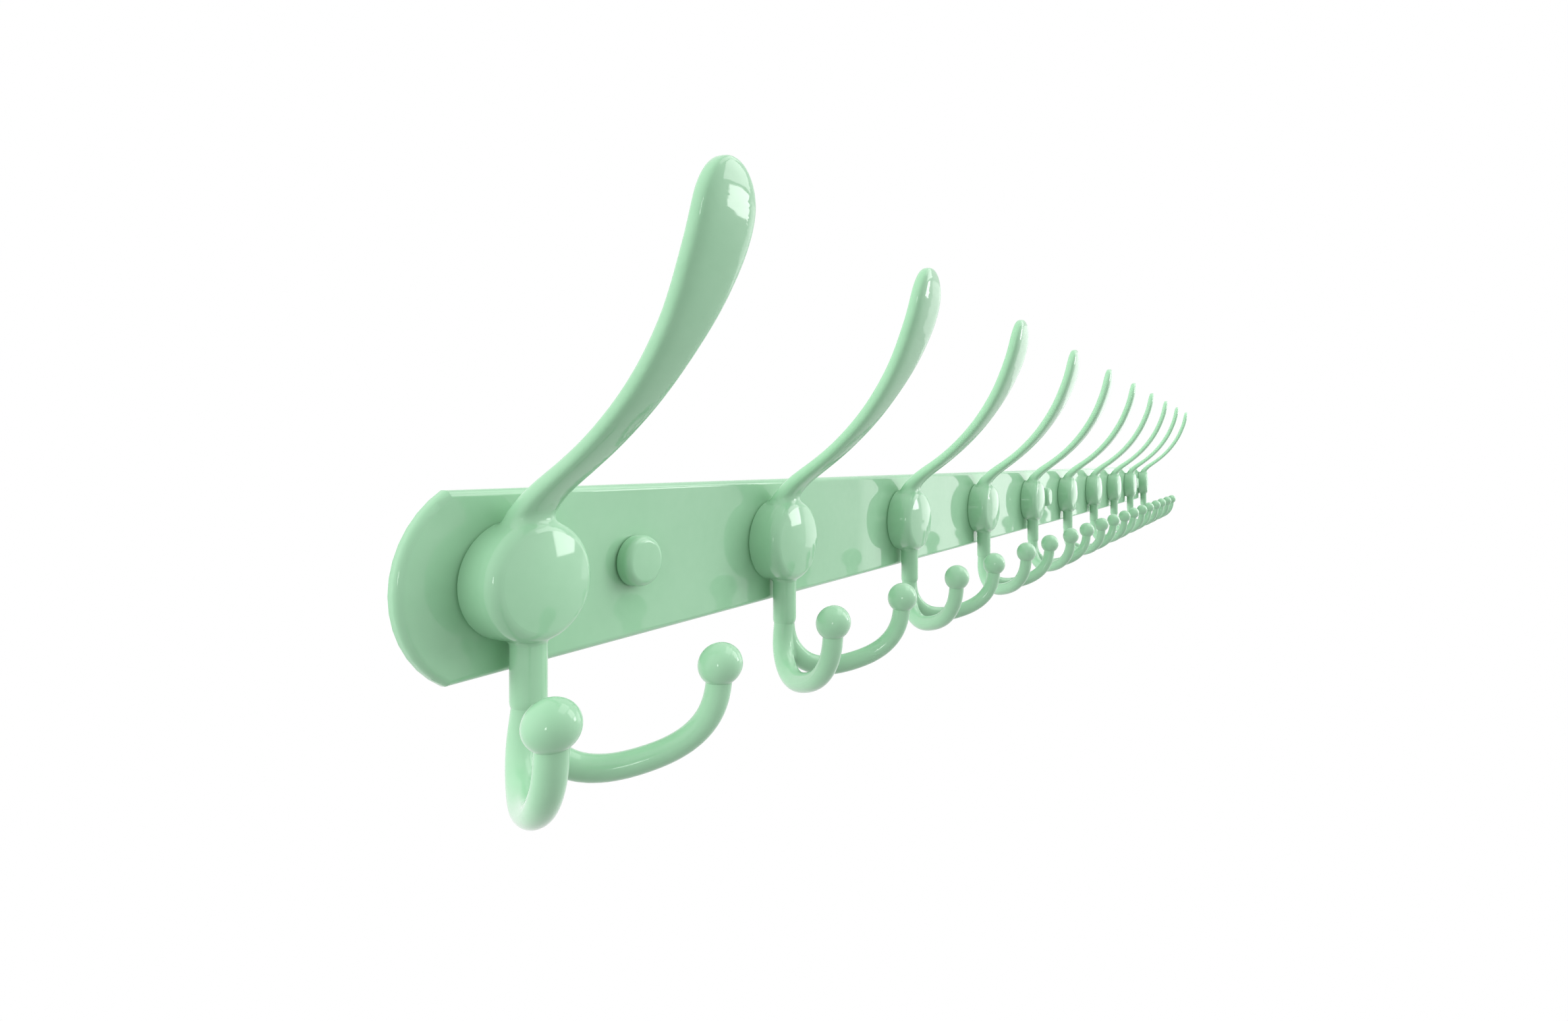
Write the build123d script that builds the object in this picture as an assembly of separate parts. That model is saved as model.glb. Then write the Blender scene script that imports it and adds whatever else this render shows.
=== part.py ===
from build123d import *
import math
import os

os.makedirs("parts", exist_ok=True)

# Frame: the origin is the middle of the rail's wall face, +X runs along the rail,
# +Z is up and +Y points into the wall. All sizes are in millimetres.

# Rail
HOOK_COUNT = 10
HOOK_PITCH = 105.0
RAIL_HEIGHT = 42.0
RAIL_THICK = 3.0
RAIL_END_BEYOND_HOOK = 26.4
RAIL_END_RADIUS = 25.1
RAIL_FRONT_ROUND = 1.7
RAIL_BACK_BREAK = 0.3

# Round boss of a hook
BOSS_DIA = 28.0
BOSS_DEPTH = 10.6
BOSS_DOME = 1.8
BOSS_FRONT_ROUND = 3.2
BOSS_PARTING_AT = 0.62
BOSS_DRAFT_DEG = 1.6
BOSS_BACK_BREAK = 0.5

# Upper arm, from its root in the boss to the tip of its paddle
ARM_REACH = 62.7
ARM_RISE = 90.2
PADDLE_WIDTH = 17.8
PADDLE_THICK = 5.3
ARM_ROOT_ROUND = 2.5

# Stem and the two lower arms, each ending in a ball
STEM_DIA = 7.8
STEM_FROM_WALL = 8.2
FORK_Z = -27.0
STEM_ROOT_ROUND = 1.2
FORK_ROUND = 1.5
LOWER_ARM_DIA = 6.8
LOWER_NECK_DIA = 6.2
LOWER_ARM_BOTTOM_Z = -45.2
BALL_DIA = 10.6
BALL_SIDE = 25.0
BALL_FROM_WALL = 41.5
BALL_Z = -22.2

# Machine screw that pulls each hook onto the rail from behind
HOOK_SCREW_DIA = 5.0
HOOK_SCREW_HEAD_DIA = 9.2
HOOK_SCREW_IN_BOSS = 7.6
TAP_DEPTH_SPARE = 1.2
HEAD_BELOW_BACK = 0.15

# Wall screw with its seat ring and its push-on cover cap
WALL_SCREW_INSIDE_HOOK = 38.9
WALL_SCREW_THREAD_DIA = 4.2
WALL_SCREW_NECK_DIA = 3.4
WALL_SCREW_HEAD_DIA = 7.6
WALL_SCREW_IN_WALL = 26.0
WALL_SCREW_POINT = 5.0
SEAT_DIA = 11.6
SEAT_THICK = 2.6
CAP_DIA = 13.8
CAP_DEPTH = 4.2
CAP_OFF_RAIL = 0.5
CAP_FRONT_ROUND = 1.9
CAP_DOME = 0.35

# Clearances
SCREW_SIDE_CLEAR = 0.30
THREAD_CLEAR = 0.08
CONE_CLEAR = 0.05
CAP_SIDE_CLEAR = 0.10
DRIVE_DEPTH_SHARE = 0.55

# Values that follow from the sizes above
HALF_RUN = HOOK_PITCH * (HOOK_COUNT - 1) / 2
HALF_LENGTH = HALF_RUN + RAIL_END_BEYOND_HOOK
HOOK_X = [HOOK_PITCH * i - HALF_RUN for i in range(HOOK_COUNT)]
WALL_SCREW_X = [-HALF_RUN + WALL_SCREW_INSIDE_HOOK, 0.0, HALF_RUN - WALL_SCREW_INSIDE_HOOK]
WALL_SCREW_NAMES = ["left", "middle", "right"]
FRONT_Y = -RAIL_THICK
BOSS_RADIUS = BOSS_DIA / 2
BOSS_EDGE_Y = FRONT_Y - BOSS_DEPTH
BOSS_FACE_Y = BOSS_EDGE_Y - BOSS_DOME
BOSS_PARTING_Y = FRONT_Y - BOSS_DEPTH * BOSS_PARTING_AT
TAP_END_Y = FRONT_Y - HOOK_SCREW_IN_BOSS - TAP_DEPTH_SPARE
SEAT_FRONT_Y = FRONT_Y - SEAT_THICK
CAP_BACK_Y = FRONT_Y - CAP_OFF_RAIL
CAP_FRONT_Y = CAP_BACK_Y - CAP_DEPTH

# Upper arm: shares of the reach and of the rise along its centre line
ARM_LINE = [
    (0.111, 0.088), (0.124, 0.142), (0.168, 0.188), (0.242, 0.235), (0.324, 0.275),
    (0.404, 0.314), (0.482, 0.356), (0.557, 0.402), (0.627, 0.450), (0.693, 0.502),
    (0.754, 0.557), (0.810, 0.614), (0.861, 0.674), (0.905, 0.737), (0.943, 0.800),
    (0.972, 0.864), (0.991, 0.930), (1.000, 1.000),
]
# Share of the arm's length, share of the paddle's width
ARM_WIDTHS = [
    (0.00, 0.720), (0.05, 0.636), (0.10, 0.560), (0.16, 0.507), (0.22, 0.500), (0.28, 0.511),
    (0.34, 0.528), (0.40, 0.549), (0.46, 0.576), (0.52, 0.612), (0.58, 0.664), (0.64, 0.738),
    (0.70, 0.830), (0.76, 0.920), (0.82, 0.983), (0.87, 1.000), (1.00, 1.000),
]
# Share of the arm's length, share of the paddle's thickness
ARM_THICKS = [
    (0.00, 1.380), (0.05, 1.230), (0.10, 1.080), (0.16, 0.945), (0.22, 0.860), (0.28, 0.820),
    (0.34, 0.815), (0.40, 0.830), (0.50, 0.880), (0.60, 0.930), (0.70, 0.970), (0.80, 1.000),
    (0.87, 1.000), (1.00, 1.000),
]
ARM_STATIONS = 16
ARM_TIP_SHARE = 0.115
ARM_TIP_STEPS = [0.0, 0.2, 0.4, 0.58, 0.73, 0.85, 0.93, 0.98]
SECTION_POINTS = 16
NECK_SQUARENESS = 2.7
PADDLE_SQUARENESS = 3.3

# Lower arm, from the fork down to its lowest point: share of the reach to the ball,
# share of the drop, and how far it swings out to the side as a share of the reach
LOWER_DOWN = [
    (0.000, 0.000, 0.000), (0.009, 0.268, 0.015), (0.036, 0.492, 0.029), (0.084, 0.678, 0.038),
    (0.150, 0.836, 0.043), (0.230, 0.940, 0.046), (0.321, 0.992, 0.048),
]
# The same from the lowest point up to the ball, the drop measured from the ball
LOWER_UP = [
    (0.420, 1.000, 0.048), (0.526, 0.974, 0.044), (0.632, 0.926, 0.039), (0.723, 0.866, 0.033),
    (0.803, 0.788, 0.026), (0.875, 0.682, 0.018), (0.936, 0.537, 0.009), (0.974, 0.368, 0.002),
    (0.992, 0.186, 0.000), (1.000, 0.000, 0.000),
]
LOWER_STATIONS = 28


def between(table, share):
    """Value of a table of (share, value) pairs at a share, straight between its rows."""
    for (s0, v0), (s1, v1) in zip(table, table[1:]):
        if share <= s1:
            return v0 + (v1 - v0) * (share - s0) / (s1 - s0)
    return table[-1][1]


def oval(centre, side, across, width, thick, squareness):
    """Closed rounded section: width along side, thickness along across."""
    points = []
    for i in range(SECTION_POINTS):
        angle = 2 * math.pi * i / SECTION_POINTS
        c, s = math.cos(angle), math.sin(angle)
        u = math.copysign(abs(c) ** (2 / squareness), c) * width / 2
        v = math.copysign(abs(s) ** (2 / squareness), s) * thick / 2
        points.append(centre + side * u + across * v)
    # The same parameters in every section keep the lofted surface light and even
    steps = [i / SECTION_POINTS for i in range(SECTION_POINTS + 1)]
    return Face(Wire(Edge.make_spline(points, periodic=True, parameters=steps)))


def arm_path():
    """Centre line of the upper arm in the plane X = 0."""
    points = [Vector(0, -ARM_REACH * f, ARM_RISE * r) for f, r in ARM_LINE]
    return Spline(*points)


def arm_shares():
    """Shares of the arm's length that carry a section, closer together at the tip."""
    body_end = 1 - ARM_TIP_SHARE
    body = [body_end * i / ARM_STATIONS for i in range(ARM_STATIONS)]
    return body + [body_end + ARM_TIP_SHARE * t for t in ARM_TIP_STEPS]


def tip_factor(share):
    """Shrinks the section towards the round end of the paddle."""
    over = (share - (1 - ARM_TIP_SHARE)) / ARM_TIP_SHARE
    return math.sqrt(max(0.0, 1 - max(0.0, over) ** 2))


def upper_arm():
    """S-shaped arm that flares from the boss, narrows to a neck and widens to a paddle."""
    path = arm_path()
    side = Vector(1, 0, 0)
    sections = []
    for share in arm_shares():
        tangent = path % share
        across = tangent.cross(side)
        width = PADDLE_WIDTH * between(ARM_WIDTHS, share)
        thick = PADDLE_THICK * between(ARM_THICKS, share)
        square = NECK_SQUARENESS + (PADDLE_SQUARENESS - NECK_SQUARENESS) * share
        shrink = tip_factor(share)
        sections.append(oval(path @ share, side, across, width * shrink, thick * math.sqrt(shrink), square))
    sections.append(Vertex(*(path @ 1.0)))
    return loft(sections)


def lower_path(direction):
    """Centre line of a lower arm, direction -1 or 1 being the side that it goes to."""
    forward = BALL_FROM_WALL - STEM_FROM_WALL
    along = Vector(direction * BALL_SIDE, -forward, 0)
    aside = Vector(direction * forward, BALL_SIDE, 0)
    axis = Vector(0, -STEM_FROM_WALL, 0)
    points = []
    for r, d, b in LOWER_DOWN:
        z = FORK_Z + (LOWER_ARM_BOTTOM_Z - FORK_Z) * d
        points.append(axis + along * r + aside * b + Vector(0, 0, z))
    for r, d, b in LOWER_UP:
        z = BALL_Z + (LOWER_ARM_BOTTOM_Z - BALL_Z) * d
        points.append(axis + along * r + aside * b + Vector(0, 0, z))
    return Spline(*points)


def lower_arm(direction):
    """Round lower arm on one side, from the stem to its ball."""
    path = lower_path(direction)
    level = Vector(direction * (BALL_FROM_WALL - STEM_FROM_WALL), BALL_SIDE, 0)
    sections = []
    for i in range(LOWER_STATIONS + 1):
        share = i / LOWER_STATIONS
        dia = LOWER_ARM_DIA + (LOWER_NECK_DIA - LOWER_ARM_DIA) * share
        sections.append(Plane(origin=path @ share, z_dir=path % share, x_dir=level) * Circle(dia / 2))
    return loft(sections) + Pos(*(path @ 1)) * Sphere(BALL_DIA / 2)


def stem():
    """Round stem from inside the boss down to the fork, with a round lower end."""
    top_z = -BOSS_RADIUS * 0.5
    length = top_z - FORK_Z
    rod = Pos(0, -STEM_FROM_WALL, (top_z + FORK_Z) / 2) * Cylinder(STEM_DIA / 2, length)
    return rod + Pos(0, -STEM_FROM_WALL, FORK_Z) * Sphere(STEM_DIA / 2)


def boss():
    """Round boss with draft both ways from its parting line and a slightly domed face."""
    draft = math.tan(math.radians(BOSS_DRAFT_DEG))
    back_r = BOSS_RADIUS - draft * (FRONT_Y - BOSS_PARTING_Y)
    edge_r = BOSS_RADIUS - draft * (BOSS_PARTING_Y - BOSS_EDGE_Y)
    dome_r = (edge_r ** 2 + BOSS_DOME ** 2) / (2 * BOSS_DOME)
    half = edge_r / 2
    dome_mid_y = BOSS_FACE_Y + dome_r - math.sqrt(dome_r ** 2 - half ** 2)
    outline = [
        Line((0, FRONT_Y), (back_r - BOSS_BACK_BREAK, FRONT_Y)),
        Line((back_r - BOSS_BACK_BREAK, FRONT_Y), (back_r, FRONT_Y - BOSS_BACK_BREAK)),
        Line((back_r, FRONT_Y - BOSS_BACK_BREAK), (BOSS_RADIUS, BOSS_PARTING_Y)),
        Line((BOSS_RADIUS, BOSS_PARTING_Y), (edge_r, BOSS_EDGE_Y)),
        ThreePointArc((edge_r, BOSS_EDGE_Y), (half, dome_mid_y), (0, BOSS_FACE_Y)),
        Line((0, BOSS_FACE_Y), (0, FRONT_Y)),
    ]
    body = revolve(make_face(Curve() + outline), Axis.Y)
    rim = body.edges().filter_by(GeomType.CIRCLE).sort_by(lambda e: abs(e.center().Y - BOSS_EDGE_Y))[0]
    return fillet(rim, BOSS_FRONT_ROUND)


def tapped_hole():
    """Blind hole for the hook's screw, open at the boss's back."""
    radius = HOOK_SCREW_DIA / 2 + THREAD_CLEAR
    length = FRONT_Y - TAP_END_Y
    return Pos(0, (FRONT_Y + TAP_END_Y) / 2, 0) * Rot(90, 0, 0) * Cylinder(radius, length)


def edges_within(shape, low, high):
    """Edges that lie wholly between two corners, short slivers left out."""
    found = []
    for edge in shape.edges():
        box = edge.bounding_box()
        above = box.min.X >= low[0] and box.min.Y >= low[1] and box.min.Z >= low[2]
        below = box.max.X <= high[0] and box.max.Y <= high[1] and box.max.Z <= high[2]
        if above and below:
            found.append(edge)
    return found


def eased(shape, edges, radius):
    """Shape with the edges rounded, by a smaller radius where the full one doesn't fit."""
    for share in (1.0, 0.7, 0.45, 0.25):
        try:
            rounded = fillet(edges, radius * share)
        except Exception:
            continue
        if rounded.is_valid and len(rounded.solids()) == 1:
            return rounded
    return shape


def hook():
    """One casting: boss, upper arm, stem and two ball-ended lower arms."""
    body = boss() + upper_arm() + stem()
    front = BOSS_FACE_Y - 2
    half = PADDLE_WIDTH / 2
    root = edges_within(body, (-half, front, BOSS_RADIUS * 0.65), (half, FRONT_Y, BOSS_RADIUS * 1.35))
    body = eased(body, root, ARM_ROOT_ROUND)
    half = STEM_DIA * 0.6
    root = edges_within(body, (-half, front, -BOSS_RADIUS * 1.1), (half, FRONT_Y, -BOSS_RADIUS * 0.6))
    body = eased(body, root, STEM_ROOT_ROUND)
    body += lower_arm(-1)
    body += lower_arm(1)
    fork = edges_within(body, (-0.3, -STEM_FROM_WALL * 3, LOWER_ARM_BOTTOM_Z), (0.3, FRONT_Y, FORK_Z))
    body = eased(body, [edge for edge in fork if edge.length > STEM_DIA / 2], FORK_ROUND)
    return body - tapped_hole()


def rail():
    """Flat rail with arched ends, rounded front edges and its screw holes."""
    half_h = RAIL_HEIGHT / 2
    corner_x = HALF_LENGTH - RAIL_END_RADIUS + math.sqrt(RAIL_END_RADIUS ** 2 - half_h ** 2)
    outline = [
        Line((-corner_x, half_h), (corner_x, half_h)),
        ThreePointArc((corner_x, half_h), (HALF_LENGTH, 0), (corner_x, -half_h)),
        Line((corner_x, -half_h), (-corner_x, -half_h)),
        ThreePointArc((-corner_x, -half_h), (-HALF_LENGTH, 0), (-corner_x, half_h)),
    ]
    bar = extrude(Plane.XZ * make_face(Curve() + outline), RAIL_THICK)
    bar = fillet(bar.faces().sort_by(Axis.Y)[0].edges(), RAIL_FRONT_ROUND)
    bar = chamfer(bar.faces().sort_by(Axis.Y)[-1].edges(), RAIL_BACK_BREAK)
    for x in HOOK_X:
        bar -= Pos(x, 0, 0) * countersunk_hole()
    for x in WALL_SCREW_X:
        bar -= Pos(x, 0, 0) * plain_hole(WALL_SCREW_THREAD_DIA / 2 + SCREW_SIDE_CLEAR)
    return bar


def plain_hole(radius):
    """Straight hole right through the rail's thickness."""
    return Pos(0, FRONT_Y / 2, 0) * Rot(90, 0, 0) * Cylinder(radius, 2 * RAIL_THICK)


def cone(wide_r, narrow_r, wide_y, narrow_y):
    """Cone frustum on the Y axis, from its wide end to its narrow end."""
    outline = Polyline((0, wide_y), (wide_r, wide_y), (narrow_r, narrow_y), (0, narrow_y), close=True)
    return revolve(make_face(outline), Axis.Y)


def countersunk_hole():
    """Clearance hole with a countersink that opens at the rail's back."""
    narrow = HOOK_SCREW_DIA / 2 + SCREW_SIDE_CLEAR
    wide = HOOK_SCREW_HEAD_DIA / 2 + HEAD_BELOW_BACK + CONE_CLEAR
    sink = cone(wide, narrow, 0, -(wide - narrow))
    return plain_hole(narrow) + sink


def cross_recess(head_dia, face_y, inward):
    """Cross-shaped driver recess cut into a screw head."""
    reach = head_dia * 0.52
    slot = head_dia * 0.13
    depth = head_dia / 2 * DRIVE_DEPTH_SHARE * 0.6
    centre = Pos(0, face_y + inward * depth / 2, 0)
    return centre * Box(reach, depth, slot) + centre * Box(slot, depth, reach)


def hook_screw():
    """Countersunk machine screw, its head just below the rail's back."""
    shank_r = HOOK_SCREW_DIA / 2
    head_r = HOOK_SCREW_HEAD_DIA / 2
    head_y = -HEAD_BELOW_BACK
    end_y = FRONT_Y - HOOK_SCREW_IN_BOSS
    head = cone(head_r, shank_r, head_y, head_y - (head_r - shank_r))
    shank = Pos(0, (head_y - 1 + end_y) / 2, 0) * Rot(90, 0, 0) * Cylinder(shank_r, head_y - 1 - end_y)
    shank = chamfer(shank.edges().filter_by(GeomType.CIRCLE).sort_by(Axis.Y)[0], 0.5)
    return head + shank - cross_recess(HOOK_SCREW_HEAD_DIA, head_y, -1)


def wall_screw():
    """Countersunk wood screw whose threaded end stands out of the rail's back."""
    neck_r = WALL_SCREW_NECK_DIA / 2
    head_r = WALL_SCREW_HEAD_DIA / 2
    thread_r = WALL_SCREW_THREAD_DIA / 2
    head_y = SEAT_FRONT_Y + HEAD_BELOW_BACK
    under_y = head_y + head_r - neck_r
    outline = Polyline(
        (0, head_y), (head_r, head_y), (neck_r, under_y), (neck_r, 0), (thread_r, 0),
        (thread_r, WALL_SCREW_IN_WALL - WALL_SCREW_POINT), (0.3, WALL_SCREW_IN_WALL),
        (0, WALL_SCREW_IN_WALL), close=True,
    )
    body = revolve(make_face(outline), Axis.Y)
    return body - cross_recess(WALL_SCREW_HEAD_DIA, head_y, 1)


def seat_ring():
    """Ring under the wall screw's head that the cover cap is pushed onto."""
    ring = Pos(0, (FRONT_Y + SEAT_FRONT_Y) / 2, 0) * Rot(90, 0, 0) * Cylinder(SEAT_DIA / 2, SEAT_THICK)
    ring = chamfer(ring.edges().filter_by(GeomType.CIRCLE).sort_by(Axis.Y)[0], 0.3)
    narrow = WALL_SCREW_NECK_DIA / 2 + SCREW_SIDE_CLEAR
    wide = WALL_SCREW_HEAD_DIA / 2 + HEAD_BELOW_BACK + CONE_CLEAR
    sink = cone(wide, narrow, SEAT_FRONT_Y, SEAT_FRONT_Y + wide - narrow)
    bore = Pos(0, (FRONT_Y + SEAT_FRONT_Y) / 2, 0) * Rot(90, 0, 0) * Cylinder(narrow, 2 * SEAT_THICK)
    return ring - sink - bore


def cover_cap():
    """Round cover cap, hollow from behind, its ceiling against the seat ring."""
    r = CAP_DIA / 2
    dome_r = (r ** 2 + CAP_DOME ** 2) / (2 * CAP_DOME)
    mid_y = CAP_FRONT_Y + dome_r - math.sqrt(dome_r ** 2 - (r / 2) ** 2)
    outline = [
        Line((0, CAP_BACK_Y), (r, CAP_BACK_Y)),
        Line((r, CAP_BACK_Y), (r, CAP_FRONT_Y + CAP_DOME)),
        ThreePointArc((r, CAP_FRONT_Y + CAP_DOME), (r / 2, mid_y), (0, CAP_FRONT_Y)),
        Line((0, CAP_FRONT_Y), (0, CAP_BACK_Y)),
    ]
    body = revolve(make_face(Curve() + outline), Axis.Y)
    rims = body.edges().filter_by(GeomType.CIRCLE)
    rim = rims.sort_by(lambda e: abs(e.center().Y - CAP_FRONT_Y - CAP_DOME))[0]
    body = fillet(rim, CAP_FRONT_ROUND)
    bore_r = SEAT_DIA / 2 + CAP_SIDE_CLEAR
    hollow = Pos(0, (CAP_BACK_Y + SEAT_FRONT_Y) / 2, 0) * Rot(90, 0, 0) * Cylinder(bore_r, CAP_BACK_Y - SEAT_FRONT_Y)
    return body - hollow


def save(shape, node):
    """Write one node as a STEP file."""
    export_step(shape, os.path.join("parts", node + ".step"))


def main():
    """Build every piece and write one file per node."""
    save(rail(), "rail")
    casting = hook()
    for i, x in enumerate(HOOK_X):
        save(Pos(x, 0, 0) * casting, "hook_%02d" % (i + 1))
    screw = hook_screw()
    save(Compound(children=[Pos(x, 0, 0) * screw for x in HOOK_X]), "hook_screws")
    screw = wall_screw()
    save(Compound(children=[Pos(x, 0, 0) * screw for x in WALL_SCREW_X]), "wall_screws")
    ring = seat_ring()
    cap = cover_cap()
    for name, x in zip(WALL_SCREW_NAMES, WALL_SCREW_X):
        save(Pos(x, 0, 0) * ring, "seat_" + name)
        save(Pos(x, 0, 0) * cap, "cap_" + name)


main()
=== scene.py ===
"""Finish, screw threads, studio and camera for a wall coat rack with ten cast hooks."""
import logging
import math
from dataclasses import dataclass, field
from enum import Enum
from typing import Any, Iterable, Sequence

import bmesh
import bpy
import numpy as np
from mathutils import Matrix, Vector


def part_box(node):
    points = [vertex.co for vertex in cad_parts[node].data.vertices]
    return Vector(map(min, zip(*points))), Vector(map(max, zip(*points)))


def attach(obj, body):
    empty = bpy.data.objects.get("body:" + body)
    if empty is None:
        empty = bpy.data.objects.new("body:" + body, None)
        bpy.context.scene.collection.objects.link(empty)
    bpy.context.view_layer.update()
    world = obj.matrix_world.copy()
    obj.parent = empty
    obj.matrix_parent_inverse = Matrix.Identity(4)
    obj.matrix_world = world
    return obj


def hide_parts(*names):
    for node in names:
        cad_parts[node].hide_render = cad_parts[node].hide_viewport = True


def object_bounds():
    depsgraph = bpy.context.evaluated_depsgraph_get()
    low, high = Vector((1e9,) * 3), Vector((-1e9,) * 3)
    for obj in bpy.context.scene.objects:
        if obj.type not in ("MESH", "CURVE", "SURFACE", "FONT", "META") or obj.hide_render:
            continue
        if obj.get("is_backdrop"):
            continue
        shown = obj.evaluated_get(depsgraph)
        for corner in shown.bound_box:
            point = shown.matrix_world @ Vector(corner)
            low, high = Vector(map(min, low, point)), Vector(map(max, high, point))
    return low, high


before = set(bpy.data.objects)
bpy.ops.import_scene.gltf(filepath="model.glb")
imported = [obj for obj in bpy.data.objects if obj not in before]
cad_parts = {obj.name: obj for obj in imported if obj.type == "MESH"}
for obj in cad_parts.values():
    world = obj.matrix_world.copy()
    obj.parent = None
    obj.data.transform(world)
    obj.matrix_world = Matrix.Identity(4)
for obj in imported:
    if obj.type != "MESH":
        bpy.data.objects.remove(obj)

logging.basicConfig(level=logging.INFO, format="%(message)s")
log = logging.getLogger("coat_rack")

MM = 0.001
Colour = tuple[float, float, float]
Place = tuple[float, float, float]
WHITE: Colour = (1.0, 1.0, 1.0)


# Node trees

class Term:
    """A value inside a node tree. Arithmetic on it adds the Math nodes."""

    def __init__(self, tree: "Nodes", socket: bpy.types.NodeSocket) -> None:
        """Keeps the tree and the socket that gives the value."""
        self.tree = tree
        self.socket = socket

    def _math(self, operation: str, *values: "Term | float") -> "Term":
        """Adds one Math node.

        Args:
            operation: The Math node's operation.
            values: The node's values in order.

        Returns:
            The node's result.
        """
        keys = ("Value", "Value_001", "Value_002")
        node = self.tree.node("ShaderNodeMath", {"operation": operation}, dict(zip(keys, values)))
        return Term(self.tree, node.outputs[0])

    def __add__(self, other: "Term | float") -> "Term":
        """This value plus another."""
        return self._math("ADD", self, other)

    def __radd__(self, other: "Term | float") -> "Term":
        """Another value plus this one."""
        return self._math("ADD", other, self)

    def __sub__(self, other: "Term | float") -> "Term":
        """This value less another."""
        return self._math("SUBTRACT", self, other)

    def __rsub__(self, other: "Term | float") -> "Term":
        """Another value less this one."""
        return self._math("SUBTRACT", other, self)

    def __mul__(self, other: "Term | float") -> "Term":
        """This value times another."""
        return self._math("MULTIPLY", self, other)

    def __rmul__(self, other: "Term | float") -> "Term":
        """Another value times this one."""
        return self._math("MULTIPLY", other, self)

    def __truediv__(self, other: "Term | float") -> "Term":
        """This value divided by another."""
        return self._math("DIVIDE", self, other)

    def __rtruediv__(self, other: "Term | float") -> "Term":
        """Another value divided by this one."""
        return self._math("DIVIDE", other, self)

    def least(self, other: "Term | float") -> "Term":
        """The smaller of this value and another."""
        return self._math("MINIMUM", self, other)

    def most(self, other: "Term | float") -> "Term":
        """The larger of this value and another."""
        return self._math("MAXIMUM", self, other)

    def sine(self) -> "Term":
        """The sine of this value."""
        return self._math("SINE", self)

    def between(self, low: float, high: float) -> "Term":
        """A soft step that rises from 0 at low to 1 at high."""
        limits = {"Value": self, "From Min": low, "From Max": high}
        node = self.tree.node("ShaderNodeMapRange", {"interpolation_type": "SMOOTHSTEP"}, limits)
        return Term(self.tree, node.outputs["Result"])


Plug = Term | bpy.types.NodeSocket | float | int | bool | Sequence[float]


class Nodes:
    """A node tree of any kind, with one method that adds its nodes."""

    def __init__(self, tree: bpy.types.NodeTree) -> None:
        """Keeps the tree."""
        self.tree = tree

    def plug(self, socket: bpy.types.NodeSocket, value: Any) -> None:
        """Links a value to a socket, or sets it there.

        Args:
            socket: The input.
            value: A term or an output to link, or a plain value to set.
        """
        if isinstance(value, Term):
            value = value.socket
        if isinstance(value, bpy.types.NodeSocket):
            self.tree.links.new(value, socket)
        elif socket.type == "RGBA" and len(value) == 3:
            socket.default_value = (*value, 1.0)
        else:
            socket.default_value = value

    def node(self, kind: str, settings: dict[str, Any] | None = None,
             inputs: dict[str, Any] | None = None) -> bpy.types.Node:
        """Adds a node.

        Args:
            kind: The node's type.
            settings: Its own settings, which are set first.
            inputs: A value or a link for each named socket.

        Returns:
            The node.
        """
        made = self.tree.nodes.new(kind)
        for name, value in (settings or {}).items():
            setattr(made, name, value)
        by_identifier = {socket.identifier: socket for socket in made.inputs}
        for name, value in (inputs or {}).items():
            self.plug(by_identifier[name], value)
        return made

    def split(self, vector: bpy.types.NodeSocket) -> tuple[Term, Term, Term]:
        """The three parts of a vector."""
        made = self.node("ShaderNodeSeparateXYZ", inputs={"Vector": vector})
        return tuple(Term(self, made.outputs[key]) for key in "XYZ")

    def vector(self, x: Plug, y: Plug, z: Plug) -> bpy.types.NodeSocket:
        """A vector from its three parts."""
        return self.node("ShaderNodeCombineXYZ", inputs={"X": x, "Y": y, "Z": z}).outputs["Vector"]

    def value(self, number: float) -> bpy.types.NodeSocket:
        """The output of a Value node."""
        made = self.node("ShaderNodeValue")
        made.outputs[0].default_value = number
        return made.outputs[0]

    def noise(self, place: bpy.types.NodeSocket, per_metre: float, detail: float = 2.0) -> Term:
        """Smooth noise between 0 and 1.

        Args:
            place: The coordinates.
            per_metre: Number of cells in a metre.
            detail: Number of finer layers.

        Returns:
            The noise.
        """
        inputs = {"Vector": place, "Scale": per_metre, "Detail": detail, "Roughness": 0.5}
        return Term(self, self.node("ShaderNodeTexNoise", inputs=inputs).outputs[0])

    def bump(self, height: Term) -> bpy.types.NodeSocket:
        """The normal of a surface that is raised by a height in metres."""
        inputs = {"Strength": 1.0, "Distance": 1.0, "Height": height}
        return self.node("ShaderNodeBump", inputs=inputs).outputs["Normal"]

    def mix(self, share: Plug, first: Any, second: Any) -> bpy.types.NodeSocket:
        """A blend of two colours, all of the second where the share is 1."""
        inputs = {"Factor_Float": share, "A_Color": first, "B_Color": second}
        made = self.node("ShaderNodeMix", {"data_type": "RGBA"}, inputs)
        return next(out for out in made.outputs if out.identifier == "Result_Color")

    def seen_or_lighting(self, seen: bpy.types.Node, lighting: bpy.types.Node) -> bpy.types.NodeSocket:
        """One shader for rays of the camera and of a gloss, and another for all other rays.

        Args:
            seen: The shader that the camera and a gloss see.
            lighting: The shader that lights the rest.

        Returns:
            The mixed shader.
        """
        path = self.node("ShaderNodeLightPath").outputs
        share = Term(self, path["Is Camera Ray"]).most(Term(self, path["Is Glossy Ray"]))
        inputs = {"Fac": share, "Shader": lighting.outputs[0], "Shader_001": seen.outputs[0]}
        return self.node("ShaderNodeMixShader", inputs=inputs).outputs[0]


# Finishes

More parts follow.
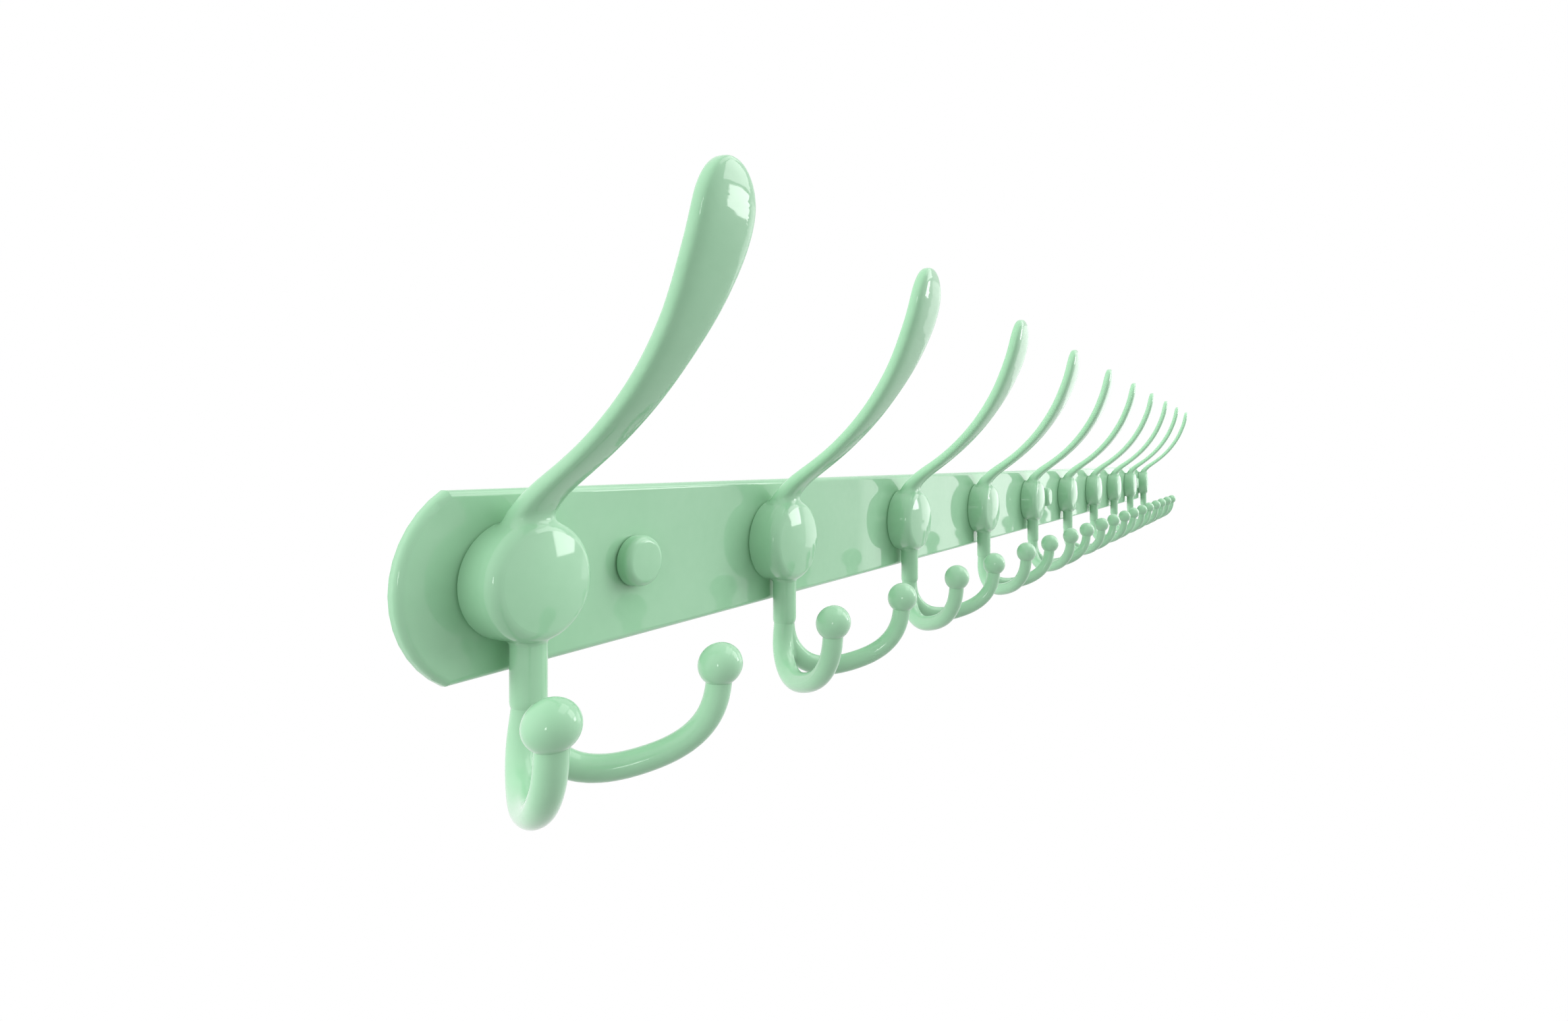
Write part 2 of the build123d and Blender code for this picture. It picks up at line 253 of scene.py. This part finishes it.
def new_material(name: str) -> tuple[bpy.types.Material, Nodes, bpy.types.NodeSocket]:
    """Starts a material.

    Args:
        name: The material's name.

    Returns:
        The material, its tree, and the object coordinates.
    """
    material = bpy.data.materials.new(name)
    material.use_nodes = True
    material.node_tree.nodes.clear()
    nodes = Nodes(material.node_tree)
    return material, nodes, nodes.node("ShaderNodeTexCoord").outputs["Object"]


def close_material(nodes: Nodes, inputs: dict[str, Any]) -> None:
    """Ends a material in one principled surface.

    Args:
        nodes: The material's tree.
        inputs: Values and links of the surface.
    """
    surface = nodes.node("ShaderNodeBsdfPrincipled", inputs=inputs)
    nodes.node("ShaderNodeOutputMaterial", inputs={"Surface": surface.outputs["BSDF"]})


@dataclass(frozen=True)
class Enamel:
    """Glossy stove enamel: pigment that lies a little thicker in places, under a clear gloss."""

    name: str
    thin: Colour
    thick: Colour
    cloud_per_metre: float = 34.0
    speck_per_metre: float = 306.0
    cloud_share: float = 0.75
    contrast: tuple[float, float] = (0.25, 0.75)
    peel_per_metre: float = 420.0
    peel_height: float = 0.0020 * MM
    flow_per_metre: float = 70.0
    flow_height: float = 0.012 * MM
    roughness: float = 0.50
    roughness_spread: float = 0.08
    sheen_level: float = 0.20
    gloss: float = 1.0
    gloss_roughness: float = 0.06
    refraction: float = 1.5

    def material(self) -> bpy.types.Material:
        """Builds the material."""
        made, nodes, place = new_material(self.name)
        clouds = nodes.noise(place, self.cloud_per_metre, 3.0)
        specks = nodes.noise(place, self.speck_per_metre, 1.0)
        depth = clouds * self.cloud_share + specks * (1.0 - self.cloud_share)
        peel = nodes.noise(place, self.peel_per_metre, 1.0) * self.peel_height
        flow = nodes.noise(place, self.flow_per_metre, 1.0) * self.flow_height
        smoothest = self.roughness - self.roughness_spread / 2
        close_material(nodes, {
            "Base Color": nodes.mix(depth.between(*self.contrast), self.thin, self.thick),
            "Roughness": specks * self.roughness_spread + smoothest,
            "Coat Weight": self.gloss,
            "Coat Roughness": self.gloss_roughness,
            "Specular IOR Level": self.sheen_level,
            "IOR": self.refraction,
            "Normal": nodes.bump(peel + flow),
        })
        return made


@dataclass(frozen=True)
class ZincPlate:
    """Bright zinc plate on steel, faintly blue, with fine turning marks and a dull bloom."""

    name: str
    bright: Colour = (0.66, 0.67, 0.68)
    dull: Colour = (0.50, 0.50, 0.49)
    bloom_per_metre: float = 260.0
    bloom_edges: tuple[float, float] = (0.35, 0.7)
    bloom_roughness: float = 0.14
    grain_per_metre: float = 1900.0
    grain_roughness: float = 0.10
    grain_height: float = 0.006 * MM
    mark_per_metre: float = 5200.0
    mark_height: float = 0.004 * MM
    roughness: float = 0.20

    def material(self) -> bpy.types.Material:
        """Builds the material."""
        made, nodes, place = new_material(self.name)
        bloom = nodes.noise(place, self.bloom_per_metre, 3.0).between(*self.bloom_edges)
        grain = nodes.noise(place, self.grain_per_metre, 2.0)
        along = nodes.split(place)[1]
        marks = (along * self.mark_per_metre).sine() * self.mark_height
        worn = bloom * self.bloom_roughness + grain * self.grain_roughness
        close_material(nodes, {
            "Base Color": nodes.mix(bloom, self.bright, self.dull),
            "Metallic": 1.0,
            "Roughness": worn + self.roughness,
            "Normal": nodes.bump(marks + grain * self.grain_height),
        })
        return made


@dataclass(frozen=True)
class Nylon:
    """Natural moulded nylon: milky, half matt, with a fine spark-eroded grain."""

    name: str
    milky: Colour = (0.80, 0.80, 0.77)
    cool: Colour = (0.74, 0.75, 0.74)
    cloud_per_metre: float = 180.0
    grain_per_metre: float = 2600.0
    grain_height: float = 0.012 * MM
    grain_roughness: float = 0.15
    roughness: float = 0.42
    glow_through: float = 0.12
    glow_depth: float = 2.0 * MM

    def material(self) -> bpy.types.Material:
        """Builds the material."""
        made, nodes, place = new_material(self.name)
        clouds = nodes.noise(place, self.cloud_per_metre, 2.0)
        grain = nodes.noise(place, self.grain_per_metre, 2.0)
        close_material(nodes, {
            "Base Color": nodes.mix(clouds, self.milky, self.cool),
            "Roughness": grain * self.grain_roughness + self.roughness,
            "Subsurface Weight": self.glow_through,
            "Subsurface Scale": self.glow_depth,
            "Normal": nodes.bump(grain * self.grain_height),
        })
        return made


MINT_THIN: Colour = (0.328, 0.608, 0.384)
MINT_THICK: Colour = (0.297, 0.578, 0.353)


class Finish(Enum):
    """The finishes of the rack, each under the slot that it belongs to."""

    RAIL = Enamel("rail_enamel", MINT_THIN, MINT_THICK, gloss_roughness=0.05)
    HOOK = Enamel("hook_enamel", MINT_THIN, MINT_THICK)
    CAP = Enamel("cap_enamel", MINT_THIN, MINT_THICK, flow_height=0.006 * MM)
    SCREW = ZincPlate("screw_steel")
    SEAT = Nylon("seat_nylon")

    def material(self) -> bpy.types.Material:
        """The finish's material, built at its first use."""
        ready = bpy.data.materials.get(self.value.name + "_dressed")
        if ready is None:
            ready = self.value.material()
            ready.name = self.value.name + "_dressed"
        return ready


# Pieces that keep their solid's shape and get a finish

def nodes_named(start: str) -> list[str]:
    """The names of the CAD nodes that begin with some letters, in order."""
    return sorted(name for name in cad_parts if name.startswith(start))


@dataclass
class DressedNodes:
    """CAD nodes whose shape is right and which only need their finish."""

    finish: Finish
    names: Sequence[str]

    def build(self) -> list[bpy.types.Object]:
        """Gives every node its finish.

        Returns:
            The nodes' objects.
        """
        made = []
        for name in self.names:
            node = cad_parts[name]
            for slot in node.material_slots:
                slot.material = self.finish.material()
            made.append(node)
        return made


class EnamelledRail(DressedNodes):
    """The flat rail with arched ends."""

    def __init__(self) -> None:
        """The rail is one node."""
        super().__init__(Finish.RAIL, ["rail"])


@dataclass
class MendedCopies:
    """Copies of domed CAD nodes whose normals are put right where a dome closes in a point."""

    finish: Finish
    names: Sequence[str]
    merge_within: float = 0.001 * MM
    least_match: float = 0.85

    def build(self) -> list[bpy.types.Object]:
        """Builds one copy for each node and lets it stand for the node.

        Returns:
            The finished copies.
        """
        return [self._copy(name) for name in self.names]

    def _copy(self, name: str) -> bpy.types.Object:
        """Copies one node, joins its faces and mends its normals.

        Args:
            name: The node's name.

        Returns:
            The finished copy.
        """
        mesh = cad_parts[name].data.copy()
        kept = mesh.attributes.new("cad_normal", "FLOAT_VECTOR", "CORNER")
        kept.data.foreach_set("vector", self._vectors(mesh.corner_normals).ravel())
        self._join(mesh)
        normals = self._vectors(mesh.attributes["cad_normal"].data)
        mesh.attributes.remove(mesh.attributes["cad_normal"])
        mesh.shade_smooth()
        mesh.normals_split_custom_set(self._mended(mesh, normals).tolist())
        made = new_object(name + "_enamelled", mesh)
        mesh.materials.clear()
        mesh.materials.append(self.finish.material())
        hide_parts(name)
        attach(made, "root")
        return made

    def _vectors(self, items: bpy.types.bpy_prop_collection) -> np.ndarray:
        """The vectors of a mesh's collection, one in each row."""
        values = np.empty(len(items) * 3, np.float32)
        items.foreach_get("vector", values)
        return values.reshape(-1, 3)

    def _join(self, mesh: bpy.types.Mesh) -> None:
        """Merges the points that the solid's faces have in common."""
        work = bmesh.new()
        work.from_mesh(mesh)
        bmesh.ops.remove_doubles(work, verts=work.verts, dist=self.merge_within)
        work.to_mesh(mesh)
        work.free()

    def _mended(self, mesh: bpy.types.Mesh, normals: np.ndarray) -> np.ndarray:
        """Takes the face's own normal wherever a corner's normal strays far from it.

        Args:
            mesh: The mesh.
            normals: A normal for each face corner.

        Returns:
            The mended normals.
        """
        flat = self._vectors(mesh.polygon_normals)
        sides = np.empty(len(mesh.polygons), np.int32)
        mesh.polygons.foreach_get("loop_total", sides)
        own = np.repeat(flat, sides, axis=0)
        stray = (normals * own).sum(axis=1) < self.least_match
        return np.where(stray[:, None], own, normals)


class CastHooks(MendedCopies):
    """The row of cast hooks."""

    def __init__(self) -> None:
        """Every node that is named as a hook, but not the hooks' screws."""
        super().__init__(Finish.HOOK, [name for name in nodes_named("hook_") if name != "hook_screws"])


class CoverCaps(MendedCopies):
    """The round caps over the wall screws."""

    def __init__(self) -> None:
        """The three caps."""
        super().__init__(Finish.CAP, nodes_named("cap_"))


class SeatRings(DressedNodes):
    """The nylon rings under the caps."""

    def __init__(self) -> None:
        """The three rings."""
        super().__init__(Finish.SEAT, nodes_named("seat_"))


# Screws

class ScrewInput(Enum):
    """The named inputs of the screw row, each with its kind of socket."""

    BODY = ("Geometry", "NodeSocketGeometry")
    COUNT = ("Screws", "NodeSocketInt")
    FIRST = ("First Screw", "NodeSocketVector")
    STEP = ("Step To The Next", "NodeSocketVector")
    TURN = ("Turn", "NodeSocketVector")
    CORE = ("Core Radius", "NodeSocketFloat")
    RIDGE = ("Ridge Height", "NodeSocketFloat")
    BASE = ("Ridge Base", "NodeSocketFloat")
    CREST = ("Ridge Crest", "NodeSocketFloat")
    PITCH = ("Thread Pitch", "NodeSocketFloat")
    START = ("Thread Start", "NodeSocketFloat")
    LENGTH = ("Thread Length", "NodeSocketFloat")
    TAPER = ("Taper Length", "NodeSocketFloat")
    TIP = ("Tip Share", "NodeSocketFloat")
    POINTS = ("Points In A Turn", "NodeSocketInt")
    MATERIAL = ("Material", "NodeSocketMaterial")


@dataclass(frozen=True)
class ScrewSizes:
    """Sizes of a screw in metres, measured along it from the outer face of its head."""

    head_radius: float
    neck_radius: float
    thread_radius: float
    core_radius: float
    pitch: float
    thread_start: float
    thread_end: float
    tip: float
    tip_radius: float
    crest: float
    rim: float = 0.12 * MM
    rim_break: float = 0.05 * MM

    def outline(self) -> list[tuple[float, float]]:
        """The turned outline as radius and distance from the head's face."""
        under_head = self.head_radius - self.neck_radius
        return [
            (0.0, 0.0),
            (self.head_radius - self.rim, 0.0),
            (self.head_radius, self.rim),
            (self.head_radius - self.rim_break, 2 * self.rim),
            (self.neck_radius, under_head + self.rim),
            (self.neck_radius, self.thread_start),
            (self.core_radius, self.thread_start + 0.5 * self.pitch),
            (self.core_radius, self.thread_end),
            (self.tip_radius, self.tip),
            (0.0, self.tip),
        ]


def turned(outline: Iterable[tuple[float, float]], segments: int) -> bpy.types.Mesh:
    """Turns an outline about the Z axis into a closed mesh.

    Args:
        outline: Radius and height of each point, the first and the last on the axis.
        segments: Number of faces round the axis.

    Returns:
        The mesh, its faces outward.
    """
    points = list(outline)
    work = bmesh.new()
    first = work.verts.new((0.0, 0.0, points[0][1]))
    last = work.verts.new((0.0, 0.0, points[-1][1]))
    circle = [(math.cos(turn), math.sin(turn))
              for turn in (2 * math.pi * i / segments for i in range(segments))]
    rings = []
    for radius, height in points[1:-1]:
        rings.append([work.verts.new((radius * x, radius * y, height)) for x, y in circle])
    for i in range(segments):
        j = (i + 1) % segments
        work.faces.new((first, rings[0][i], rings[0][j]))
        work.faces.new((last, rings[-1][j], rings[-1][i]))
        for low, high in zip(rings, rings[1:]):
            work.faces.new((low[i], high[i], high[j], low[j]))
    bmesh.ops.recalc_face_normals(work, faces=work.faces)
    mesh = bpy.data.meshes.new("turned")
    work.to_mesh(mesh)
    work.free()
    return mesh


def new_object(name: str, mesh: bpy.types.Mesh) -> bpy.types.Object:
    """Puts a mesh into the scene as an object at the origin."""
    made = bpy.data.objects.new(name, mesh)
    bpy.context.scene.collection.objects.link(made)
    return made


def plain_mesh(source: bpy.types.Object) -> bpy.types.Mesh:
    """The object's mesh with all of its modifiers applied."""
    graph = bpy.context.evaluated_depsgraph_get()
    return bpy.data.meshes.new_from_object(source.evaluated_get(graph), depsgraph=graph)


def discard(scrap: bpy.types.Object) -> None:
    """Removes an object that was only needed for the making."""
    bpy.data.objects.remove(scrap, do_unlink=True)


@dataclass(frozen=True)
class DriveRecess:
    """The cross-shaped recess in a screw's head."""

    reach: float
    slot: float
    depth: float
    reach_at_bottom: float = 0.45
    slot_at_bottom: float = 0.8
    overshoot: float = 0.4 * MM

    def cutter(self) -> bpy.types.Mesh:
        """Two blades that narrow towards the bottom of the recess."""
        work = bmesh.new()
        for turn in (0.0, math.pi / 2):
            blade = bmesh.ops.create_cube(work, size=1.0)["verts"]
            for vert in blade:
                deep = vert.co.z > 0
                vert.co.x *= self.reach * (self.reach_at_bottom if deep else 1.0)
                vert.co.y *= self.slot * (self.slot_at_bottom if deep else 1.0)
                vert.co.z = self.depth if deep else -self.overshoot
            bmesh.ops.rotate(work, verts=blade, cent=(0, 0, 0), matrix=Matrix.Rotation(turn, 3, "Z"))
        bmesh.ops.recalc_face_normals(work, faces=work.faces)
        mesh = bpy.data.meshes.new("drive_cutter")
        work.to_mesh(mesh)
        work.free()
        return mesh

    def cut(self, screw: bpy.types.Mesh) -> bpy.types.Mesh:
        """Cuts the recess into a screw.

        Args:
            screw: The turned screw, its head's face at height 0.

        Returns:
            The cut mesh.
        """
        body = new_object("screw_blank", screw)
        tool = new_object("drive_cutter", self.cutter())
        cut = body.modifiers.new("recess", "BOOLEAN")
        cut.operation = "DIFFERENCE"
        cut.solver = "EXACT"
        cut.use_self = True
        cut.object = tool
        made = plain_mesh(body)
        discard(body)
        discard(tool)
        return made


@dataclass
class ScrewRow:
    """A row of like screws: one body is turned, and one tree winds its thread and repeats it."""

    name: str
    replaced: str
    sizes: ScrewSizes
    recess: DriveRecess
    places: Sequence[float]
    head_at: float
    inward: bool
    points_in_turn: int = 28
    segments: int = 48
    base_in_pitch: float = 0.62
    buried_share: float = 0.3
    taper_share: float = 0.9
    run_out_rate: float = 1.2
    least_ridge: float = 0.04
    crease: float = math.radians(32)
    sockets: dict[ScrewInput, str] = field(default_factory=dict)

    def tree(self) -> bpy.types.NodeTree:
        """Builds the tree that winds a thread on one screw and repeats the screw along the rail."""
        group = bpy.data.node_groups.new(self.name + "_winding", "GeometryNodeTree")
        sockets = group.interface
        sockets.new_socket(name="Geometry", in_out="OUTPUT", socket_type="NodeSocketGeometry")
        for item in ScrewInput:
            label, kind = item.value
            made = sockets.new_socket(name=label, in_out="INPUT", socket_type=kind)
            self.sockets[item] = made.identifier
        nodes = Nodes(group)
        start = nodes.node("NodeGroupInput")
        given = {item: start.outputs[item.value[0]] for item in ScrewInput}
        number = {item: Term(nodes, given[item]) for item in ScrewInput}
        ridge = self._ridge(nodes, given, number)
        joined = nodes.node("GeometryNodeJoinGeometry")
        group.links.new(ridge, joined.inputs[0])
        group.links.new(given[ScrewInput.BODY], joined.inputs[0])
        line = nodes.node("GeometryNodeMeshLine", {"mode": "OFFSET"}, {
            "Count": given[ScrewInput.COUNT], "Start Location": given[ScrewInput.FIRST],
            "Offset": given[ScrewInput.STEP]})
        turn = nodes.node("FunctionNodeEulerToRotation", inputs={"Euler": given[ScrewInput.TURN]})
        row = nodes.node("GeometryNodeInstanceOnPoints", inputs={
            "Points": line.outputs[0], "Instance": joined.outputs[0], "Rotation": turn.outputs[0]})
        real = nodes.node("GeometryNodeRealizeInstances", inputs={"Geometry": row.outputs[0]})
        dressed = nodes.node("GeometryNodeSetMaterial", inputs={
            "Geometry": real.outputs[0], "Material": given[ScrewInput.MATERIAL]})
        end = nodes.node("NodeGroupOutput")
        group.links.new(dressed.outputs[0], end.inputs[0])
        return group

    def _ridge(self, nodes: Nodes, given: dict[ScrewInput, bpy.types.NodeSocket],
               number: dict[ScrewInput, Term]) -> bpy.types.NodeSocket:
        """Winds the thread's ridge round the core.

        Args:
            nodes: The tree.
            given: The tree's inputs.
            number: The same inputs as terms.

        Returns:
            The ridge's mesh.
        """
        whole = number[ScrewInput.LENGTH] + number[ScrewInput.TAPER]
        turns = whole / number[ScrewInput.PITCH]
        spiral = nodes.node("GeometryNodeCurveSpiral", inputs={
            "Resolution": given[ScrewInput.POINTS],
            "Rotations": turns,
            "Start Radius": given[ScrewInput.CORE], "End Radius": given[ScrewInput.CORE],
            "Height": whole})
        place = nodes.node("GeometryNodeInputPosition").outputs[0]
        x, y, z = nodes.split(place)
        past = ((z - number[ScrewInput.LENGTH]) / number[ScrewInput.TAPER]).most(0.0)
        narrow = 1.0 - past * (1.0 - number[ScrewInput.TIP])
        wound = nodes.node("GeometryNodeSetPosition", inputs={
            "Geometry": spiral.outputs[0],
            "Position": nodes.vector(x * narrow, y * narrow, z + number[ScrewInput.START])})
        upright = nodes.node("GeometryNodeSetCurveNormal", {"mode": "Z_UP"}, {"Curve": wound.outputs[0]})
        half_base = number[ScrewInput.BASE] * 0.5
        half_crest = number[ScrewInput.CREST] * 0.5
        bury = number[ScrewInput.RIDGE] * -self.buried_share
        corners = [(bury, half_base * -1.0), (number[ScrewInput.RIDGE], half_crest * -1.0),
                   (number[ScrewInput.RIDGE], half_crest), (bury, half_base)]
        section = nodes.node("GeometryNodeCurvePrimitiveQuadrilateral", {"mode": "POINTS"}, {
            f"Point {i + 1}": nodes.vector(out, along, 0.0) for i, (out, along) in enumerate(corners)})
        share = Term(nodes, nodes.node("GeometryNodeSplineParameter").outputs["Factor"])
        run_out = (share.least(1.0 - share) * turns * self.run_out_rate).least(1.0).most(self.least_ridge)
        swept = nodes.node("GeometryNodeCurveToMesh", inputs={
            "Curve": upright.outputs[0], "Profile Curve": section.outputs[0],
            "Scale": run_out, "Fill Caps": True})
        return swept.outputs[0]

    def build(self) -> bpy.types.Object:
        """Builds the row as one plain mesh that stands for its CAD node.

        Returns:
            The finished piece.
        """
        sizes = self.sizes
        blank = self.recess.cut(turned(sizes.outline(), self.segments))
        made = new_object(self.name, blank)
        winding = made.modifiers.new("winding", "NODES")
        winding.node_group = self.tree()
        step = self.places[1] - self.places[0] if len(self.places) > 1 else 0.0
        values = {
            ScrewInput.COUNT: len(self.places),
            ScrewInput.FIRST: (self.places[0], self.head_at, 0.0),
            ScrewInput.STEP: (step, 0.0, 0.0),
            ScrewInput.TURN: (math.radians(-90 if self.inward else 90), 0.0, 0.0),
            ScrewInput.CORE: sizes.core_radius,
            ScrewInput.RIDGE: sizes.thread_radius - sizes.core_radius,
            ScrewInput.BASE: sizes.pitch * self.base_in_pitch,
            ScrewInput.CREST: sizes.crest,
            ScrewInput.PITCH: sizes.pitch,
            ScrewInput.START: sizes.thread_start + sizes.pitch * 0.5,
            ScrewInput.LENGTH: sizes.thread_end - sizes.thread_start - sizes.pitch * 0.5,
            ScrewInput.TAPER: (sizes.tip - sizes.thread_end) * self.taper_share,
            ScrewInput.TIP: sizes.tip_radius / sizes.core_radius,
            ScrewInput.POINTS: self.points_in_turn,
            ScrewInput.MATERIAL: Finish.SCREW.material(),
        }
        for item, value in values.items():
            winding[self.sockets[item]] = value
        mesh = plain_mesh(made)
        made.modifiers.remove(winding)
        made.data = mesh
        mesh.shade_smooth()
        mesh.set_sharp_from_angle(angle=self.crease)
        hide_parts(self.replaced)
        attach(made, "root")
        return made


def middles_along_rail(names: Iterable[str]) -> list[float]:
    """Where the middle of each named node lies along the rail, in order."""
    found = []
    for name in names:
        low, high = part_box(name)
        found.append((low[0] + high[0]) / 2)
    return sorted(found)


def wall_screws() -> ScrewRow:
    """The three wood screws that hold the rail to the wall."""
    low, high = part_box("wall_screws")
    length = high[1] - low[1]
    from_head = -low[1]
    sizes = ScrewSizes(
        head_radius=3.8 * MM, neck_radius=1.7 * MM, thread_radius=2.1 * MM, core_radius=1.45 * MM,
        pitch=1.8 * MM, thread_start=from_head + 0.2 * MM, thread_end=length - 5.0 * MM,
        tip=length, tip_radius=0.12 * MM, crest=0.14 * MM)
    recess = DriveRecess(reach=4.0 * MM, slot=1.0 * MM, depth=1.3 * MM)
    places = middles_along_rail(f"seat_{side}" for side in ("left", "middle", "right"))
    return ScrewRow("wall_screws_threaded", "wall_screws", sizes, recess, places, low[1], inward=True)


def hook_screws(hooks: Sequence[str]) -> ScrewRow:
    """The machine screws that hold the hooks to the rail."""
    low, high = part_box("hook_screws")
    length = high[1] - low[1]
    rail_low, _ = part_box("rail")
    sizes = ScrewSizes(
        head_radius=4.6 * MM, neck_radius=2.3 * MM, thread_radius=2.5 * MM, core_radius=2.06 * MM,
        pitch=0.8 * MM, thread_start=high[1] - rail_low[1], thread_end=length - 0.6 * MM,
        tip=length, tip_radius=1.6 * MM, crest=0.1 * MM)
    recess = DriveRecess(reach=4.8 * MM, slot=1.2 * MM, depth=1.5 * MM)
    places = middles_along_rail(hooks)
    return ScrewRow("hook_screws_threaded", "hook_screws", sizes, recess, places, high[1],
                    inward=False, points_in_turn=20)


# Studio

@dataclass(frozen=True)
class SoftBox:
    """A rectangular studio light that faces a point."""

    name: str
    place: Place
    aim: Place
    width: float
    height: float
    brightness: float

    def build(self) -> bpy.types.Object:
        """Builds the light."""
        lamp = bpy.data.lights.new(self.name, "AREA")
        lamp.shape = "RECTANGLE"
        lamp.size = self.width
        lamp.size_y = self.height
        lamp.energy = self.brightness * math.pi * self.width * self.height
        made = bpy.data.objects.new(self.name, lamp)
        bpy.context.scene.collection.objects.link(made)
        made.location = self.place
        towards = Vector(self.aim) - Vector(self.place)
        made.rotation_euler = towards.to_track_quat("-Z", "Y").to_euler()
        return made


@dataclass(frozen=True)
class Lobe:
    """A soft patch of brightness in the surroundings round one direction."""

    towards: Place
    edge: float
    full: float
    brightness: float

    def level(self, x: Term, y: Term, z: Term) -> Term:
        """The patch's brightness for a direction.

        Args:
            x: The direction's part along the rail.
            y: The direction's part into the wall.
            z: The direction's part upward.

        Returns:
            The brightness.
        """
        along = x * self.towards[0] + y * self.towards[1] + z * self.towards[2]
        return along.between(self.edge, self.full) * self.brightness


@dataclass
class Studio:
    """A white room: a pale floor, soft boxes, and an even glow with brighter patches."""

    floor_height: float = -0.55
    floor_reach: float = 12.0
    floor_colour: Colour = (0.40, 0.40, 0.40)
    glow: float = 0.07
    lobes: Sequence[Lobe] = (
        Lobe((-0.92, 0.34, 0.20), 0.50, 1.0, 1.95),
        Lobe((-0.70, 0.70, 0.15), 0.50, 1.0, 2.10),
        Lobe((0.25, -0.50, 0.83), 0.30, 1.0, 0.50),
        Lobe((0.76, -0.58, 0.30), 0.30, 1.0, 1.35),
    )
    boxes: Sequence[SoftBox] = (
        SoftBox("key_box", (1.555, -1.56, 0.36), (-0.47, 0.0, 0.0), 0.56, 0.50, 6.0),
        SoftBox("key_panel", (1.6, -1.7, 1.4), (-0.30, 0.0, 0.0), 1.3, 1.3, 2.7),
        SoftBox("far_panel", (3.20, -0.95, 0.12), (0.0, 0.0, 0.0), 1.6, 1.5, 0.9),
        SoftBox("camera_side_box", (-2.30, -0.86, 0.22), (-0.47, 0.0, 0.0), 0.20, 0.34, 9.0),
        SoftBox("top_box", (0.55, -0.75, 1.75), (0.0, 0.0, 0.0), 1.9, 0.9, 1.6),
    )

    def build(self) -> None:
        """Builds the floor, the lights and the surroundings."""
        self._floor()
        for box in self.boxes:
            box.build()
        self._surroundings()

    def _floor(self) -> None:
        """A pale floor that is white to the camera and in the gloss."""
        work = bmesh.new()
        bmesh.ops.create_grid(work, x_segments=1, y_segments=1, size=self.floor_reach)
        bmesh.ops.translate(work, verts=work.verts, vec=(0.0, 0.0, self.floor_height))
        mesh = bpy.data.meshes.new("studio_floor")
        work.to_mesh(mesh)
        work.free()
        floor = new_object("studio_floor", mesh)
        made, nodes, _ = new_material("pale_floor")
        matt = nodes.node("ShaderNodeBsdfDiffuse", inputs={"Color": self.floor_colour})
        white = nodes.node("ShaderNodeEmission", inputs={"Color": WHITE, "Strength": 1.0})
        both = nodes.seen_or_lighting(white, matt)
        nodes.node("ShaderNodeOutputMaterial", inputs={"Surface": both})
        mesh.materials.append(made)
        floor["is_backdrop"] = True

    def _surroundings(self) -> None:
        """White to the camera and in the gloss; its light is an even glow with brighter patches."""
        world = bpy.data.worlds.new("white_room")
        bpy.context.scene.world = world
        world.use_nodes = True
        world.node_tree.nodes.clear()
        nodes = Nodes(world.node_tree)
        x, y, z = nodes.split(nodes.node("ShaderNodeTexCoord").outputs["Generated"])
        glow = Term(nodes, nodes.value(self.glow))
        level = sum((lobe.level(x, y, z) for lobe in self.lobes), start=glow)
        light = nodes.node("ShaderNodeBackground", inputs={"Color": WHITE, "Strength": level})
        white = nodes.node("ShaderNodeBackground", inputs={"Color": WHITE, "Strength": 1.0})
        both = nodes.seen_or_lighting(white, light)
        nodes.node("ShaderNodeOutputWorld", inputs={"Surface": both})


@dataclass(frozen=True)
class PhotoCamera:
    """A level camera close to the first hook that looks along the rail."""

    place: Place = (-0.61811, -0.16901, 0.02713)
    heading: float = 1.2403
    sensor: float = 36.0
    lens: float = 19.117
    shift: tuple[float, float] = (-0.1303, -0.0312)
    nearest: float = 0.01
    farthest: float = 60.0

    def build(self) -> bpy.types.Object:
        """Builds the camera and makes it the scene's."""
        data = bpy.data.cameras.new("photo_camera")
        data.sensor_width = self.sensor
        data.lens = self.lens
        data.shift_x, data.shift_y = self.shift
        data.clip_start = self.nearest
        data.clip_end = self.farthest
        made = bpy.data.objects.new("photo_camera", data)
        bpy.context.scene.collection.objects.link(made)
        made.location = self.place
        made.rotation_euler = (math.pi / 2, 0.0, -self.heading)
        bpy.context.scene.camera = made
        return made


def corners(box: tuple[Vector, Vector]) -> list[list[float]]:
    """The two corners of a box as plain lists."""
    return [[float(value) for value in corner] for corner in box]


def main() -> None:
    """Builds every sub-assembly in order and reports each piece."""
    cad_box = corners(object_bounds())
    hooks = CastHooks()
    for part in (EnamelledRail(), hooks, CoverCaps(), SeatRings()):
        for piece in part.build():
            log.info("dressed %s with %s", piece.name, part.finish.value.name)
    for row in (wall_screws(), hook_screws(hooks.names)):
        piece = row.build()
        log.info("built %s: %d faces", piece.name, len(piece.data.polygons))
    Studio().build()
    PhotoCamera().build()
    bpy.context.scene.view_settings.view_transform = "Standard"
    {"cad": cad_box, "visual": corners(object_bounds())}


if __name__ == "__main__":
    main()
